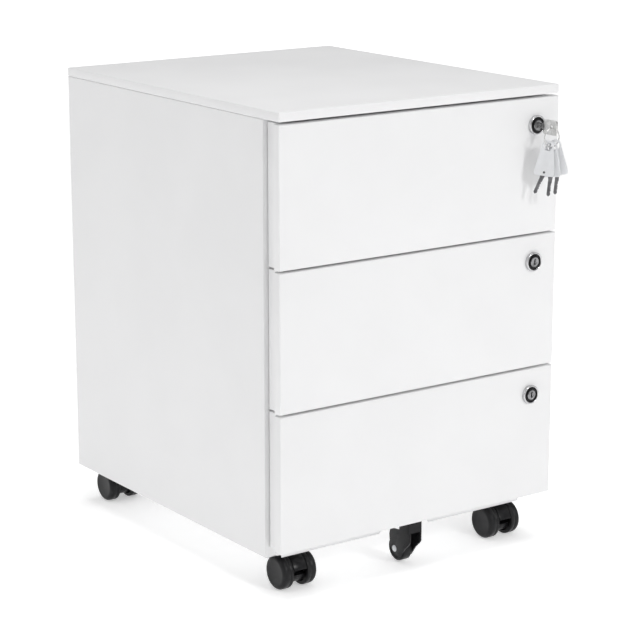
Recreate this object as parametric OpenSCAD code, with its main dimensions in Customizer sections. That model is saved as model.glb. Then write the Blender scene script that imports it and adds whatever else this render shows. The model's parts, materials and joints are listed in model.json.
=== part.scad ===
// Steel filing pedestal on casters: three locking drawers on telescopic slides, four
// twin-wheel swivel casters and a fixed anti-tip wheel under the lowest drawer.
// Frame: origin on the floor at the centre of the body's footprint, the drawers' faces
// look along -Y, +X is to the right of someone facing the drawers, +Z is up.

/* [Body] */
// Width over the side panels and the drawer fronts
body_w = 390; // [360:5:480]
// Depth from the drawers' faces to the back
body_d = 455; // [420:5:600]
// Height of the top above the floor
body_h = 550; // [520:5:680]
// Floor to the lower edge of the side panels
floor_gap = 46; // [44:1:60]
// Thickness of the carcass and drawer-front sheet
sheet_t = 1; // [0.8:0.1:1.5]
// Height of the rim folded down round the top panel
rim_h = 10.5; // [8:0.5:16]
// Width of the flanges folded in along the side panels' front edges
front_flange = 22; // [16:1:26]
// Width of the other folded edges
edge_flange = 15; // [10:1:18]
// Height of the base panel's top face above the side panels' lower edge
base_rise = 11; // [10:1:20]
// How far the base's front flange hangs below the side panels
front_hang = 3.7; // [0:0.1:4]
// Half width of the notch in the base's front flange, at its lower edge
notch_half_w = 36; // [24:1:60]
// Height of the rail across the top of the opening
rail_h = 20; // [12:1:24]

/* [Drawer fronts] */
// Depth of a drawer front from its face to the carcass
front_depth = 31; // [26:1:40]
// Depth of the flush part of a front's side edge
grip_start = 11; // [8:1:14]
// How far the side edge steps in behind it, for the fingers
grip_step = 6; // [3:0.5:8]
// Gap between two drawer fronts
front_gap = 2.4; // [1.5:0.1:4]
// Gap between the top front and the rim above it
rim_gap = 2.9; // [1.5:0.1:5]
// Drop from the carcass's lower edge up to the lowest front
front_lift = 12.6; // [10:0.1:20]
// Radius of the bend at a front's vertical edges
bend_r = 1.5; // [0.5:0.5:3]

/* [Drawer tubs and slides] */
// Thickness of the tubs' sheet
tub_t = 1; // [0.7:0.1:1.5]
// Height of a tub's floor above the lower edge of its front
tub_lift = 12; // [8:1:20]
// Front-to-back length of a tub
tub_len = 384; // [300:2:386]
// Room each slide takes beside the tub
slide_t = 12.7; // [12.5:0.1:14]
// Height of a slide's outer member
slide_h = 35; // [35:1:45]
// Length of the slides
slide_len = 376; // [300:2:380]
// Thickness of the slide members' steel
slide_steel = 1.2; // [1:0.1:1.4]
// Running gap between two members of a slide
slide_gap = 0.7; // [0.4:0.1:1]

/* [Locks and keys] */
// Distance of a lock's axis from the front's right edge
lock_inset = 34.3; // [30:0.1:36]
// Distance of a lock's axis below the front's top edge
lock_drop = 31; // [26:1:36]
// Radius of the lock's round head
lock_head_r = 11.2; // [10:0.1:12]
// Radius of the lock's barrel
lock_barrel_r = 9; // [8:0.1:9.5]
// Radius of the turning plug
plug_r = 6; // [5:0.1:6.5]
// Length of the lock's cam from its axis
cam_len = 20; // [18:0.5:22]
// Radius of the key ring's centre line
ring_r = 11; // [10:0.5:14]
// Height of a folding key's plastic head
head_h = 41; // [38:1:44]
// Length of a folding key's blade beyond its rivet
blade_len = 27; // [22:1:27]
// Angle at which the first spare blade hangs open
blade_tilt = 22; // [0:1:40]

/* [Casters] */
// Radius of a caster's wheels
wheel_r = 20; // [17:0.5:20]
// Width of one caster wheel
wheel_w = 13.5; // [10:0.5:15]
// Width of the hood between the two wheels
hood_w = 17; // [14:0.5:20]
// Distance from a caster's swivel axis to its wheels' axis
trail = 14; // [12:0.5:18]
// Swivel axis to the outer face of the side panel
caster_side = 45; // [44:1:60]
// Front casters' swivel axis behind the carcass's front
caster_front = 28; // [26:1:60]
// Rear casters' swivel axis in front of the back
caster_rear = 38; // [36:1:60]

/* [Anti-tip wheel] */
// Radius of the anti-tip wheel
tip_wheel_r = 15; // [12:0.5:16]
// Width of the anti-tip wheel
tip_wheel_w = 12.6; // [8:0.2:14]
// Clearance between the anti-tip wheel and the floor
tip_clear = 2; // [2:0.5:6]

/* [Hidden] */
$fn = 48;
tiny = 0.01;      // overshoot of a cut past the face it opens
seat = 0.1;       // assembly gap beside a panel slid between two others
bend_steps = 4;   // straight facets in a drawn bend

// Carcass
half_w = body_w / 2;
face_y = -body_d / 2;
back_y = body_d / 2;
front_y = face_y + front_depth;
seam_z = body_h - rim_h;
base_z = floor_gap + base_rise;
inner_x = half_w - sheet_t;

// Drawer fronts, counted from the top
front_top = seam_z - rim_gap;
front_bottom = floor_gap + front_lift;
front_h = (front_top - front_bottom - 2 * front_gap) / 3;
pitch = front_h + front_gap;
grip_slope = 2;            // depth over which the side edge steps in
liner_y = front_y - 2 * sheet_t;
liner_back = liner_y + sheet_t;
function top_of(n) = front_top - (n - 1) * pitch;
function bottom_of(n) = top_of(n) - front_h;

// Locks
lock_x = half_w - lock_inset;
lock_proud = 4;            // head's height off the front's face
plug_proud = 4.6;
barrel_len = 24;
nut_r = 13;
nut_t = 3;
running = 0.05;            // radial clearance of a turning fit
cam_t = 2;
cam_hub_r = 9;
cam_w = 10;
tail_half = 3;             // half width of the plug's square tail
tail_fit = 0.05;
cam_clear = 1;             // cam to the back of the carcass's front flange
cam_y = front_y + sheet_t + cam_clear;
function lock_z(n) = top_of(n) - lock_drop;

// Slides and tubs
upright_d = 40;            // front-to-back size of an upright
upright_back = 18;         // front uprights start this far behind the carcass's front
upright_x = half_w - front_flange;         // inner face of the uprights' webs
tub_x = upright_x - sheet_t - slide_t;     // outer side of a tub
slide_y = front_y + 3;
slide_step = slide_steel + slide_gap;
outer_lip = 3.5;           // outer member's flanges start this far from the tub
middle_web = 7;            // middle member's web from the tub
inner_lip = 5.8;           // inner member's flanges reach this far from the tub
tub_y = liner_back;
tub_under_lock = 24;       // tub's rim below the lock's axis
tub_h = front_h - lock_drop - tub_under_lock - tub_lift;
tub_lip = 4;
function tub_z(n) = bottom_of(n) + tub_lift;
function slide_z(n) = tub_z(n) + tub_h / 2;

// Casters
axle_r = 3;
axle_z = wheel_r;
swivel_r = 4;
mount_t = 2.5;             // thickness of a caster's steel plate
mount_w = 42;
mount_z = base_z - sheet_t - mount_t;
screw_pitch = 32;
screw_r = 2;
screw_head_r = 3.8;
screw_head_h = 1.6;
hood_top = mount_z - 0.6;  // running gap under the plate
wheel_gap = 0.9;
boss_r = 14.5;             // hood's round body between the wheels
cover_r = wheel_r - 0.5;
socket_r = 8.5;
socket_depth = 18;         // swivel pin's depth in the hood
socket_low = 6;            // socket's lower end above the wheels' axis
cover_low = 4;             // cover's lower edge above the wheels' axis
window_y = 7;              // opening under the cover starts this far before the axis
window_h = 7.5;
window_drop = 3;           // opening's lower edge below the wheels' axis
axle_end = hood_w / 2 + wheel_gap + wheel_w - 3;   // 1 mm short of the wheels' webs
CASTERS = [
    ["front_left", -1, -1], ["front_right", 1, -1], ["rear_left", -1, 1], ["rear_right", 1, 1]
];
function swivel_x(c) = c[1] * (half_w - caster_side);
function swivel_y(c) = c[2] < 0 ? front_y + caster_front : back_y - caster_rear;
function axle_y(c) = swivel_y(c) + c[2] * trail;

// Anti-tip wheel
tip_z = tip_clear + tip_wheel_r;
tip_axle_r = 2.5;
cheek_t = 2;
cheek_gap = 0.4;
fork_front = 9;            // block's front behind the drawers' face
fork_d = front_depth - 2 * sheet_t - fork_front;
tip_y = face_y + fork_front + fork_d + 9;
fork_h = 16;
cheek_back = 10;           // cheeks' rear edge behind the axle
cheek_low = 7.5;           // cheeks' lower point below the axle
axle_head_r = 4;
axle_head_t = 0.9;
fork_half = tip_wheel_w / 2 + cheek_gap + cheek_t;

// Key in the top lock, with its ring and folding spares
bow_near = 13;             // bow's inner edge in front of the drawer's face
bow_len = 24;
bow_h = 17;
bow_t = 2;
bow_hole_r = 2.2;
bow_hole_y = face_y - 28;
key_t = 1.5;
key_h = 6.4;
key_len = 20;
keyway_fit = 0.25;
wire_r = 0.8;
wire_gap = 0.3;
wire_z = lock_z(1) + 0.8 - bow_hole_r + wire_r + wire_gap;
ring_z = wire_z - ring_r;
head_t = 3.2;
head_top_r = 7;
head_hole_r = 4.8;
head_bottom_w = 23;
fold_slot = 1.6;
slot_top = 2.4;            // blade's slot ends this far below the wire
rivet_up = 4;              // rivet above the head's lower edge
rivet_r = 1.5;
rivet_drop = head_h - head_top_r - rivet_up;
blade_t = 1.2;
blade_w = 6.5;
key_turn = -45;            // heads face left of straight ahead
key_spread = 30;           // angle between neighbours round the ring
key_fan = 7;               // lean of each outer head away from the middle one
blade_hang = 5;            // lean of the blades that hang almost straight down
blade_neck = 8;            // length over which a blade tapers from its eye
blade_point = 2;

// ---- shapes used more than once

// A box given by its lowest and highest corners
module block(low, high) {
    translate(low) cube(high - low);
}

// A cylinder along X, from x0 to x1
module rod_x(x0, x1, r) {
    translate([x0, 0, 0]) rotate([0, 90, 0]) cylinder(r = r, h = x1 - x0);
}

// A cylinder along Y, from y0 to y1
module rod_y(y0, y1, r) {
    translate([0, y0, 0]) rotate([-90, 0, 0]) cylinder(r = r, h = y1 - y0);
}

// One child on each side of the middle
module both_sides() {
    children();
    mirror([1, 0, 0]) children();
}

// ---- carcass

// Side panel: one sheet with its front, rear, top and bottom edges folded in
module side_panel() {
    block([inner_x, front_y, floor_gap], [half_w, back_y, seam_z]);
    block([half_w - front_flange, front_y, floor_gap], [half_w, front_y + sheet_t, seam_z]);
    block([half_w - edge_flange, back_y - sheet_t, floor_gap], [half_w, back_y, seam_z]);
    block([half_w - edge_flange, front_y, seam_z - sheet_t], [half_w, back_y, seam_z]);
    block([half_w - edge_flange, front_y, floor_gap], [half_w, back_y, floor_gap + sheet_t]);
}

module left_side_panel() {
    color("white") mirror([1, 0, 0]) side_panel();
}

module right_side_panel() {
    color("white") side_panel();
}

module back_panel() {
    low_z = floor_gap + sheet_t;
    high_z = seam_z - sheet_t;
    y = back_y - 2 * sheet_t;
    color("white") {
        block([-inner_x + seat, y, low_z], [inner_x - seat, y + sheet_t, high_z]);
        block([-half_w + edge_flange, y - edge_flange, high_z - sheet_t],
              [half_w - edge_flange, y + tiny, high_z]);
    }
}

// Top panel: a flat sheet, its rim folded down and then in, onto the side panels
module top_panel() {
    color("white") difference() {
        block([-half_w, face_y, seam_z], [half_w, back_y, body_h]);
        block([-inner_x, face_y + sheet_t, seam_z + sheet_t],
              [inner_x, back_y - sheet_t, body_h - sheet_t]);
        block([-half_w + edge_flange, face_y + edge_flange, seam_z - tiny],
              [half_w - edge_flange, back_y - edge_flange, seam_z + 2 * sheet_t]);
    }
}

// Base panel: a tray turned down all round, with a notch in the front for the
// anti-tip wheel's fork
module base_panel() {
    side = inner_x - seat;
    front_side = half_w - front_flange - seat;
    rear = back_y - 2 * sheet_t;
    hem_z = floor_gap + sheet_t;
    front_z = floor_gap - front_hang;
    slant = 10;
    color("white") difference() {
        union() {
            block([-side, front_y + sheet_t, base_z - sheet_t], [side, rear, base_z]);
            block([-front_side, front_y, base_z - sheet_t],
                  [front_side, front_y + 2 * sheet_t, base_z]);
            block([-front_side, front_y, front_z], [front_side, front_y + sheet_t, base_z]);
            block([-side, rear - sheet_t, hem_z], [side, rear, base_z]);
            both_sides() block([side - sheet_t, front_y + sheet_t, hem_z], [side, rear, base_z]);
        }
        translate([0, front_y + sheet_t + tiny, 0]) rotate([90, 0, 0])
            linear_extrude(sheet_t + 2 * tiny) polygon([
                [-notch_half_w, front_z - tiny], [notch_half_w, front_z - tiny],
                [notch_half_w - slant, base_z - sheet_t], [slant - notch_half_w, base_z - sheet_t]
            ]);
    }
}

// Rail across the opening, under the side panels' top flanges
module top_rail() {
    side = inner_x - seat;
    y = front_y + sheet_t;
    z = seam_z - sheet_t;
    color("white") {
        block([-side, y, z - rail_h], [side, y + sheet_t, z]);
        block([-side, y, z - sheet_t], [side, y + edge_flange, z]);
    }
}

// Channel that carries the slides, open towards the side panel
module upright(y) {
    difference() {
        block([upright_x - sheet_t, y, base_z], [inner_x, y + upright_d, seam_z - 2 * sheet_t]);
        block([upright_x, y + sheet_t, base_z - tiny],
              [inner_x + tiny, y + upright_d - sheet_t, seam_z]);
    }
}

module uprights() {
    upright(front_y + upright_back);
    upright(slide_y + slide_len - upright_d);
}

module left_uprights() {
    color("gainsboro") mirror([1, 0, 0]) uprights();
}

module right_uprights() {
    color("gainsboro") uprights();
}

// Steel plates under the base, each with the pin its caster swivels on
module caster_mounts() {
    color("silver") for (c = CASTERS) translate([swivel_x(c), swivel_y(c), 0]) {
        difference() {
            translate([-mount_w / 2, -mount_w / 2, mount_z]) cube([mount_w, mount_w, mount_t]);
            for (x = [-1, 1], y = [-1, 1])
                translate([x * screw_pitch / 2, y * screw_pitch / 2, mount_z - tiny])
                    cylinder(r = screw_r + running, h = mount_t + 2 * tiny);
        }
        translate([0, 0, hood_top - socket_depth])
            cylinder(r = swivel_r, h = mount_z - hood_top + socket_depth + tiny);
    }
}

// Screws through the plates' corners into the base
module caster_screws() {
    color("gray") for (c = CASTERS, x = [-1, 1], y = [-1, 1])
        translate([swivel_x(c) + x * screw_pitch / 2, swivel_y(c) + y * screw_pitch / 2, 0]) {
            translate([0, 0, mount_z - screw_head_h]) cylinder(r = screw_head_r, h = screw_head_h);
            translate([0, 0, mount_z - tiny]) cylinder(r = screw_r, h = mount_t + tiny);
        }
}

// ---- drawers

// Right half of a front's outline in plan, held in by an allowance of sheet
function front_side(inset, back) = [
    for (i = [0 : bend_steps])
        let (a = -90 + 90 * i / bend_steps, r = max(bend_r - inset, 0.2))
        [half_w - inset - r + r * cos(a), face_y + inset + r + r * sin(a)],
    [half_w - inset, face_y + grip_start - inset / 2],
    [half_w - grip_step - inset, face_y + grip_start + grip_slope - inset / 2],
    [half_w - grip_step - inset, back]
];

function mirrored(points) = [for (i = [len(points) - 1 : -1 : 0]) [-points[i][0], points[i][1]]];

module front_plan(inset, back) {
    side = front_side(inset, back);
    polygon(concat(side, mirrored(side)));
}

// Outer pan of a drawer front, open at the back, with a step in each side for the fingers
module drawer_front(n) {
    color("white") difference() {
        translate([0, 0, bottom_of(n)]) linear_extrude(front_h) front_plan(0, liner_y);
        translate([0, 0, bottom_of(n) + sheet_t]) linear_extrude(front_h - 2 * sheet_t)
            front_plan(sheet_t, liner_y + tiny);
        translate([lock_x, 0, lock_z(n)])
            rod_y(face_y - tiny, face_y + sheet_t + tiny, lock_barrel_r + running);
    }
}

// Plate that closes the pan and takes the tub's screws
module drawer_liner(n) {
    side = half_w - grip_step;
    color("gainsboro") difference() {
        block([-side, liner_y, bottom_of(n)], [side, liner_back, top_of(n)]);
        translate([lock_x, 0, lock_z(n)])
            rod_y(liner_y - tiny, liner_back + tiny, lock_barrel_r + 2);
    }
}

// Tub: folded tray with a lip along the sides and the rear
module drawer_tub(n) {
    z = tub_z(n);
    rear = tub_y + tub_len;
    color("gainsboro") {
        difference() {
            block([-tub_x, tub_y, z], [tub_x, rear, z + tub_h]);
            block([-tub_x + tub_t, tub_y + tub_t, z + tub_t],
                  [tub_x - tub_t, rear - tub_t, z + tub_h + tiny]);
        }
        both_sides() block([tub_x - tub_lip, tub_y, z + tub_h - tub_t], [tub_x, rear, z + tub_h]);
        block([-tub_x, rear - tub_lip, z + tub_h - tub_t], [tub_x, rear, z + tub_h]);
    }
}

// One channel of a slide: web at web_x, flanges reaching from x0 to x1, half height h
module slide_channel(web_x, x0, x1, h) {
    block([web_x, slide_y, -h], [web_x + slide_steel, slide_y + slide_len, h]);
    for (z = [-h, h - slide_steel])
        block([x0, slide_y, z], [x1, slide_y + slide_len, z + slide_steel]);
}

module slides_outer(n) {
    color("silver") translate([0, 0, slide_z(n)]) both_sides()
        slide_channel(tub_x + slide_t - slide_steel, tub_x + outer_lip, tub_x + slide_t, slide_h / 2);
}

module slides_middle(n) {
    web = tub_x + middle_web;
    color("silver") translate([0, 0, slide_z(n)]) both_sides()
        slide_channel(web, tub_x + slide_step, web + slide_steel, slide_h / 2 - slide_step);
}

module slides_inner(n) {
    color("silver") translate([0, 0, slide_z(n)]) both_sides()
        slide_channel(tub_x, tub_x, tub_x + inner_lip, slide_h / 2 - 2 * slide_step);
}

// ---- locks

// Lock body: round head on the drawer's face, barrel behind it, and its nut
module lock_housing(n) {
    color("silver") translate([lock_x, 0, lock_z(n)]) {
        difference() {
            union() {
                rod_y(face_y - lock_proud, face_y, lock_head_r);
                rod_y(face_y - tiny, face_y + barrel_len, lock_barrel_r);
            }
            rod_y(face_y - lock_proud - tiny, face_y + barrel_len + tiny, plug_r + running);
        }
        difference() {
            rod_y(face_y + sheet_t, face_y + sheet_t + nut_t, nut_r);
            rod_y(face_y, face_y + 2 * nut_t + sheet_t, lock_barrel_r + running);
        }
    }
}

// Turning plug with a keyway and a square tail for the cam
module lock_plug(n) {
    key_w = key_t / 2 + keyway_fit;
    key_z = key_h / 2 + keyway_fit;
    front = face_y - plug_proud;
    color("dimgray") translate([lock_x, 0, lock_z(n)]) difference() {
        union() {
            rod_y(front, liner_back, plug_r);
            block([-tail_half, liner_back - tiny, -tail_half],
                  [tail_half, cam_y + cam_t, tail_half]);
        }
        block([-key_w, front - tiny, -key_z], [key_w, front + key_len + 1, key_z]);
    }
}

// Cam on the plug's tail, hanging down while unlocked, with its screw
module lock_cam(n) {
    hole = tail_half + tail_fit;
    color("silver") translate([lock_x, 0, lock_z(n)]) {
        difference() {
            union() {
                rod_y(cam_y, cam_y + cam_t, cam_hub_r);
                block([-cam_w / 2, cam_y, -cam_len], [cam_w / 2, cam_y + cam_t, 0]);
            }
            block([-hole, cam_y - tiny, -hole], [hole, cam_y + cam_t + tiny, hole]);
        }
        rod_y(cam_y + cam_t, cam_y + cam_t + 2, cam_hub_r / 2);
    }
}

// ---- casters

// Hood of a caster: round body, cover over the wheels' front, and the swivel socket
module caster_hood(c) {
    out = c[2];
    color("dimgray") translate([swivel_x(c), axle_y(c), 0]) {
        difference() {
            union() {
                translate([0, 0, axle_z]) rod_x(-hood_w / 2, hood_w / 2, boss_r);
                translate([0, 0, axle_z]) intersection() {
                    rod_x(-hood_w / 2, hood_w / 2, cover_r);
                    block([-hood_w, -wheel_r, cover_low], [hood_w, wheel_r, wheel_r]);
                }
                translate([0, -out * trail, axle_z + socket_low])
                    cylinder(r = socket_r, h = hood_top - axle_z - socket_low);
                block([-hood_w / 2, min(0, -out * trail), axle_z],
                      [hood_w / 2, max(0, -out * trail), axle_z + boss_r]);
            }
            translate([0, -out * trail, hood_top - socket_depth - 1])
                cylinder(r = swivel_r + running, h = socket_depth + 2);
            mirror([0, out > 0 ? 0 : 1, 0])
                block([-hood_w, window_y, axle_z - window_drop],
                      [hood_w, wheel_r + 1, axle_z - window_drop + window_h]);
            translate([0, 0, axle_z]) rod_x(-hood_w, hood_w, axle_r);
        }
        translate([0, 0, axle_z]) rod_x(-axle_end, axle_end, axle_r);
    }
}

// Caster wheel: rounded outer shoulder, flat disc face, blind bore on the hood's side
module caster_wheel(c, side) {
    shoulder = 5;
    steps = 6;
    web = 2;
    near = hood_w / 2 + wheel_gap;
    profile = concat(
        [[axle_r + running, 0], [wheel_r - 1, 0], [wheel_r, 1]],
        [for (i = [0 : steps]) [wheel_r - shoulder + shoulder * cos(90 * i / steps),
                                wheel_w - shoulder + shoulder * sin(90 * i / steps)]],
        [[0, wheel_w], [0, wheel_w - web], [axle_r + running, wheel_w - web]]
    );
    color("#333333") translate([swivel_x(c), axle_y(c), axle_z]) rotate([0, side * 90, 0])
        translate([0, 0, near]) rotate_extrude() polygon(profile);
}

// ---- anti-tip wheel

// Side outline of a fork cheek, as (Y, Z): from under the block, round the axle's rear
// and down to a point in front of it
function cheek_outline(near, far, low) = [
    [near, low + tiny], [far, low + tiny],
    [tip_y + cheek_back - 4, low - 2], [tip_y + cheek_back - 1, low - 5],
    [tip_y + cheek_back, low - 10], [tip_y + cheek_back - 1, tip_z + 5],
    [tip_y + cheek_back - 4, tip_z - 2], [tip_y - 3, tip_z - cheek_low + 1],
    [near + fork_d - 1.5, tip_z - cheek_low], [near + fork_d / 2, tip_z + 4],
    [near + 2, low - 14], [near, low - 11]
];

// Fork under the lowest front: a block and two cheeks that reach down to the axle
module anti_tip_fork() {
    near = face_y + fork_front;
    far = near + fork_d;
    top = bottom_of(3);
    low = top - fork_h;
    color("#222222") difference() {
        union() {
            block([-fork_half, near, low], [fork_half, far, top]);
            both_sides() translate([fork_half - cheek_t, 0, 0])
                rotate([90, 0, 90]) linear_extrude(cheek_t) polygon(cheek_outline(near, far, low));
        }
        translate([0, tip_y, tip_z])
            rod_x(-fork_half - 1, fork_half + 1, tip_axle_r + running);
    }
}

module anti_tip_axle() {
    color("silver") translate([0, tip_y, tip_z]) {
        rod_x(-fork_half - axle_head_t, fork_half + axle_head_t, tip_axle_r);
        both_sides() rod_x(fork_half, fork_half + axle_head_t, axle_head_r);
    }
}

module anti_tip_wheel() {
    edge = 1.5;
    half = tip_wheel_w / 2;
    bore = tip_axle_r + running;
    color("#333333") translate([0, tip_y, tip_z]) rotate([0, 90, 0]) rotate_extrude()
        polygon([[bore, -half], [tip_wheel_r - edge, -half], [tip_wheel_r, -half + edge],
                 [tip_wheel_r, half - edge], [tip_wheel_r - edge, half], [bore, half]]);
}

// ---- keys

// Key standing in the top lock: bow, neck and blade
module key_in_lock() {
    bow_y = face_y - bow_near;
    color("silver") translate([lock_x, 0, lock_z(1)]) difference() {
        union() {
            block([-bow_t / 2, bow_y - bow_len, -bow_h / 2], [bow_t / 2, bow_y, bow_h / 2]);
            block([-key_t / 2, bow_y - tiny, -key_h / 2],
                  [key_t / 2, face_y - plug_proud + key_len, key_h / 2]);
        }
        translate([0, bow_hole_y, 0.8]) rod_x(-bow_t, bow_t, bow_hole_r);
    }
}

module key_ring() {
    color("silver") translate([lock_x, bow_hole_y, ring_z]) rotate([90, 0, 0])
        rotate_extrude() translate([ring_r, 0]) circle(r = wire_r, $fn = 24);
}

function fan_of(n) = (2 - n) * key_fan;

// Puts a spare key's own frame, with its origin on the wire, at its place on the ring
module on_ring(n) {
    a = (n - 2) * key_spread;
    translate([lock_x + ring_r * sin(a), bow_hole_y, ring_z - ring_r * cos(a)])
        rotate([0, 0, key_turn]) children();
}

// Plastic head, slotted from below so that the blade folds into it, with its rivet
module spare_key_head(n) {
    low = head_top_r - head_h;
    half = head_bottom_w / 2;
    corner = 3;
    color("lightgray") on_ring(n) rotate([0, fan_of(n), 0]) {
        difference() {
            union() {
                rod_y(-head_t / 2, head_t / 2, head_top_r);
                translate([0, head_t / 2, 0]) rotate([90, 0, 0]) linear_extrude(head_t)
                    polygon([[-head_top_r, 0], [-half, low + corner], [-half + corner, low],
                             [half - corner, low], [half, low + corner], [head_top_r, 0]]);
            }
            rod_y(-head_t, head_t, head_hole_r);
            block([-half - 1, -fold_slot / 2, low - 1], [half + 1, fold_slot / 2, -slot_top]);
        }
        translate([0, 0, -rivet_drop]) rod_y(-head_t / 2 + tiny, head_t / 2 - tiny, rivet_r);
    }
}

// Folding blade, hung on the head's rivet
module spare_key_blade(n) {
    tilt = n == 1 ? blade_tilt : blade_hang;
    fan = fan_of(n);
    half = blade_w / 2;
    waist = half - 1;
    color("silver") on_ring(n)
        translate([-rivet_drop * sin(fan), blade_t / 2, -rivet_drop * cos(fan)])
            rotate([0, tilt, 0]) rotate([90, 0, 0]) linear_extrude(blade_t) difference() {
                union() {
                    circle(r = half);
                    polygon([[-half, 0], [-waist, -blade_neck],
                             [-waist, -blade_len + blade_point], [0, -blade_len],
                             [waist - 0.5, -blade_len + blade_point],
                             [waist, -blade_neck], [half, 0]]);
                }
                circle(r = rivet_r + running);
            }
}

// ---- the parts

left_side_panel();
right_side_panel();
back_panel();
top_panel();
base_panel();
top_rail();
left_uprights();
right_uprights();
caster_mounts();
caster_screws();
for (n = [1 : 3]) {
    drawer_front(n);
    drawer_liner(n);
    drawer_tub(n);
    slides_outer(n);
    slides_middle(n);
    slides_inner(n);
    lock_housing(n);
    lock_plug(n);
    lock_cam(n);
    spare_key_head(n);
    spare_key_blade(n);
}
for (c = CASTERS) {
    caster_hood(c);
    caster_wheel(c, -1);
    caster_wheel(c, 1);
}
anti_tip_fork();
anti_tip_axle();
anti_tip_wheel();
key_in_lock();
key_ring();
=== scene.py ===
# %% [markdown]
# # A steel filing pedestal on casters
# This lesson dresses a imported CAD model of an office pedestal. The CAD model holds every
# size, axis and fit, so nothing is measured again here: each new piece reads its place
# from the CAD node that it stands for. What Blender adds is the folded sheet's soft
# bends, the turned locks, the moulded casters and the finishes.

# %% Load the fixed frame
import json
import math
import bpy
import bmesh
from mathutils import Euler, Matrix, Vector


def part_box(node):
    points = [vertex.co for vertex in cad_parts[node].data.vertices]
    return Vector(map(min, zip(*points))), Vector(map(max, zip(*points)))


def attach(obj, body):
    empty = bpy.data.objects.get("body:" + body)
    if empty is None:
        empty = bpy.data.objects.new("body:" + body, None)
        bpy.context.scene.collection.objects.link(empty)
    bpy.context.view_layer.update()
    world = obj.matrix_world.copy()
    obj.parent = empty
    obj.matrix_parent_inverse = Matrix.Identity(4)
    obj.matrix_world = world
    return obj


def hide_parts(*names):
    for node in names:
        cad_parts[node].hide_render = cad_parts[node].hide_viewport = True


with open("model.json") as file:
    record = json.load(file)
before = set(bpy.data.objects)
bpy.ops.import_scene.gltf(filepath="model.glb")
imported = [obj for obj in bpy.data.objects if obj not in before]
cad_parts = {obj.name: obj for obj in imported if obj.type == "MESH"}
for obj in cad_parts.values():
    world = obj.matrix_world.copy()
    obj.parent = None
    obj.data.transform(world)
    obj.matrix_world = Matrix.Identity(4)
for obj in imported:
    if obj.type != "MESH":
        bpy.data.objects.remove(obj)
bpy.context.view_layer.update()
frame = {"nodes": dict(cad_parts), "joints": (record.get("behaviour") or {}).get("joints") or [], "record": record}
MM = 0.001
X, Y, Z = range(3)
DRAWERS = (1, 2, 3)

# %% [markdown]
# ## Working in edit mode
# Most operators act on whatever is selected, and a freshly loaded frame is selected all
# over. So each step starts by clearing the selection, and faces or edges are then chosen
# in code, by where they lie. These few helpers stand for what a hand does with the mouse.

# %% Select and edit
def pick(piece):
    """Selects one object and nothing else."""
    bpy.ops.object.select_all(action="DESELECT")
    piece.select_set(True)
    bpy.context.view_layer.objects.active = piece


def start_edit(piece):
    pick(piece)
    bpy.ops.object.mode_set(mode="EDIT")


def end_edit():
    bpy.ops.object.mode_set(mode="OBJECT")


def choose_all():
    bpy.ops.mesh.select_all(action="SELECT")


def choose(piece, kind, test):
    """Selects the faces, edges or corners that pass the test."""
    bpy.ops.mesh.select_mode(type={"faces": "FACE", "edges": "EDGE", "verts": "VERT"}[kind])
    bpy.ops.mesh.select_all(action="DESELECT")
    mesh = bmesh.from_edit_mesh(piece.data)
    mesh.normal_update()
    for item in getattr(mesh, kind):
        item.select = bool(test(item))
    mesh.select_flush_mode()
    bmesh.update_edit_mesh(piece.data)


def push(x=0, y=0, z=0):
    """Extrudes the chosen faces by this much."""
    bpy.ops.mesh.extrude_region_move(TRANSFORM_OT_translate={"value": (x, y, z)})


def fold_out(x=0, y=0):
    """Extrudes the chosen edges into a flange."""
    bpy.ops.mesh.extrude_edges_move(TRANSFORM_OT_translate={"value": (x, y, 0)})


def bevel_chosen(width, segments=3):
    bpy.ops.mesh.bevel(offset=width, segments=segments, affect="EDGES", clamp_overlap=True)


print("edit helpers ready")

# %% Find faces and edges by their place
def near(a, b):
    return abs(a - b) < 0.02 * MM


def lies(item, axis, place):
    """True for a face or edge with every corner in this plane across X, Y or Z."""
    return all(near(corner.co[axis], place) for corner in item.verts)


def runs(edge, axis):
    """True for an edge that runs along X, Y or Z."""
    way = edge.verts[1].co - edge.verts[0].co
    return abs(abs(way[axis]) - way.length) < 1e-6 and way.length > 1e-6


print("place tests ready")

# %% [markdown]
# ## Pieces that stand for CAD nodes
# A finished piece keeps its object at the origin, with its place in its mesh, because
# patterns and poses are worked out from there. It takes over a CAD node's body, slot and
# finish, and hides the node.

# %% Start and finish a piece
def fix_place():
    bpy.ops.object.transform_apply(location=True, rotation=True, scale=True)


def add(name, primitive, scale=(1, 1, 1), **settings):
    """Adds a primitive, with its place, turn and size in its mesh."""
    bpy.ops.object.select_all(action="DESELECT")
    primitive(**settings)
    piece = bpy.context.object
    piece.name = name
    piece.scale = scale
    fix_place()
    return piece


BODY_OF = {node: body for body, nodes in frame["record"]["behaviour"]["bodies"].items()
           for node in nodes}
SLOT_OF = {part["node"]: part["material_slot"] for part in frame["record"]["subparts"]}


def stand_in(piece, node, slot=None, replaces=True):
    """Lets a piece stand for a CAD node: same body, same slot, same finish."""
    slot = slot or SLOT_OF[node]
    piece.data.materials.clear()
    piece.data.materials.append(FINISHES[slot])
    if replaces:
        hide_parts(node)
    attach(piece, BODY_OF[node])
    return piece


print("nodes with a slot:", len(SLOT_OF))

# %% [markdown]
# ## Shader maths as plain expressions
# A finish is a small formula over the surface: colour here, roughness there. Each maths
# step would be a Math node, so one class wraps a socket and lets Python write them:
# `0.4 + 0.1 * grain` adds two nodes. Every other node comes from one method.

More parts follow.
